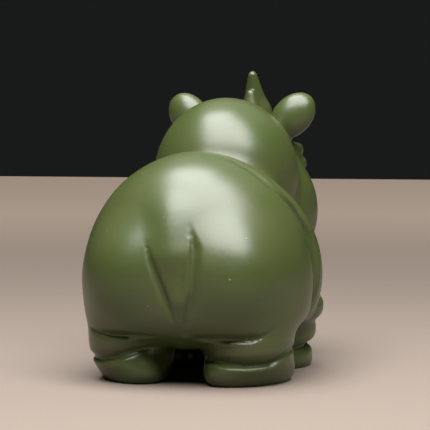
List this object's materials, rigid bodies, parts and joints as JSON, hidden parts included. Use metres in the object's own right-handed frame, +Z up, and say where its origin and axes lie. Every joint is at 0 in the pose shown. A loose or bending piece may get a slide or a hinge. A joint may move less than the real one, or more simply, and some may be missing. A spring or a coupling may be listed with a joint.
{
  "type": "rhinoceros figurine",
  "caption": "Small moulded rhinoceros figurine, chubby and smooth, standing on short folded legs with its tail flat against the rump.",
  "frame": {"origin": "centre of the figurine's footprint, on the ground under the belly", "axes": "+Z up, the animal faces -Y, its own right side is -X"},
  "size_m": [0.0594, 0.0978, 0.0796],
  "materials": {
    "green_vinyl": "satin, coloured through, with a little dust"
  },
  "bodies": {
    "root": {"rhinoceros_figurine": "green_vinyl"}
  },
  "joints": []
}
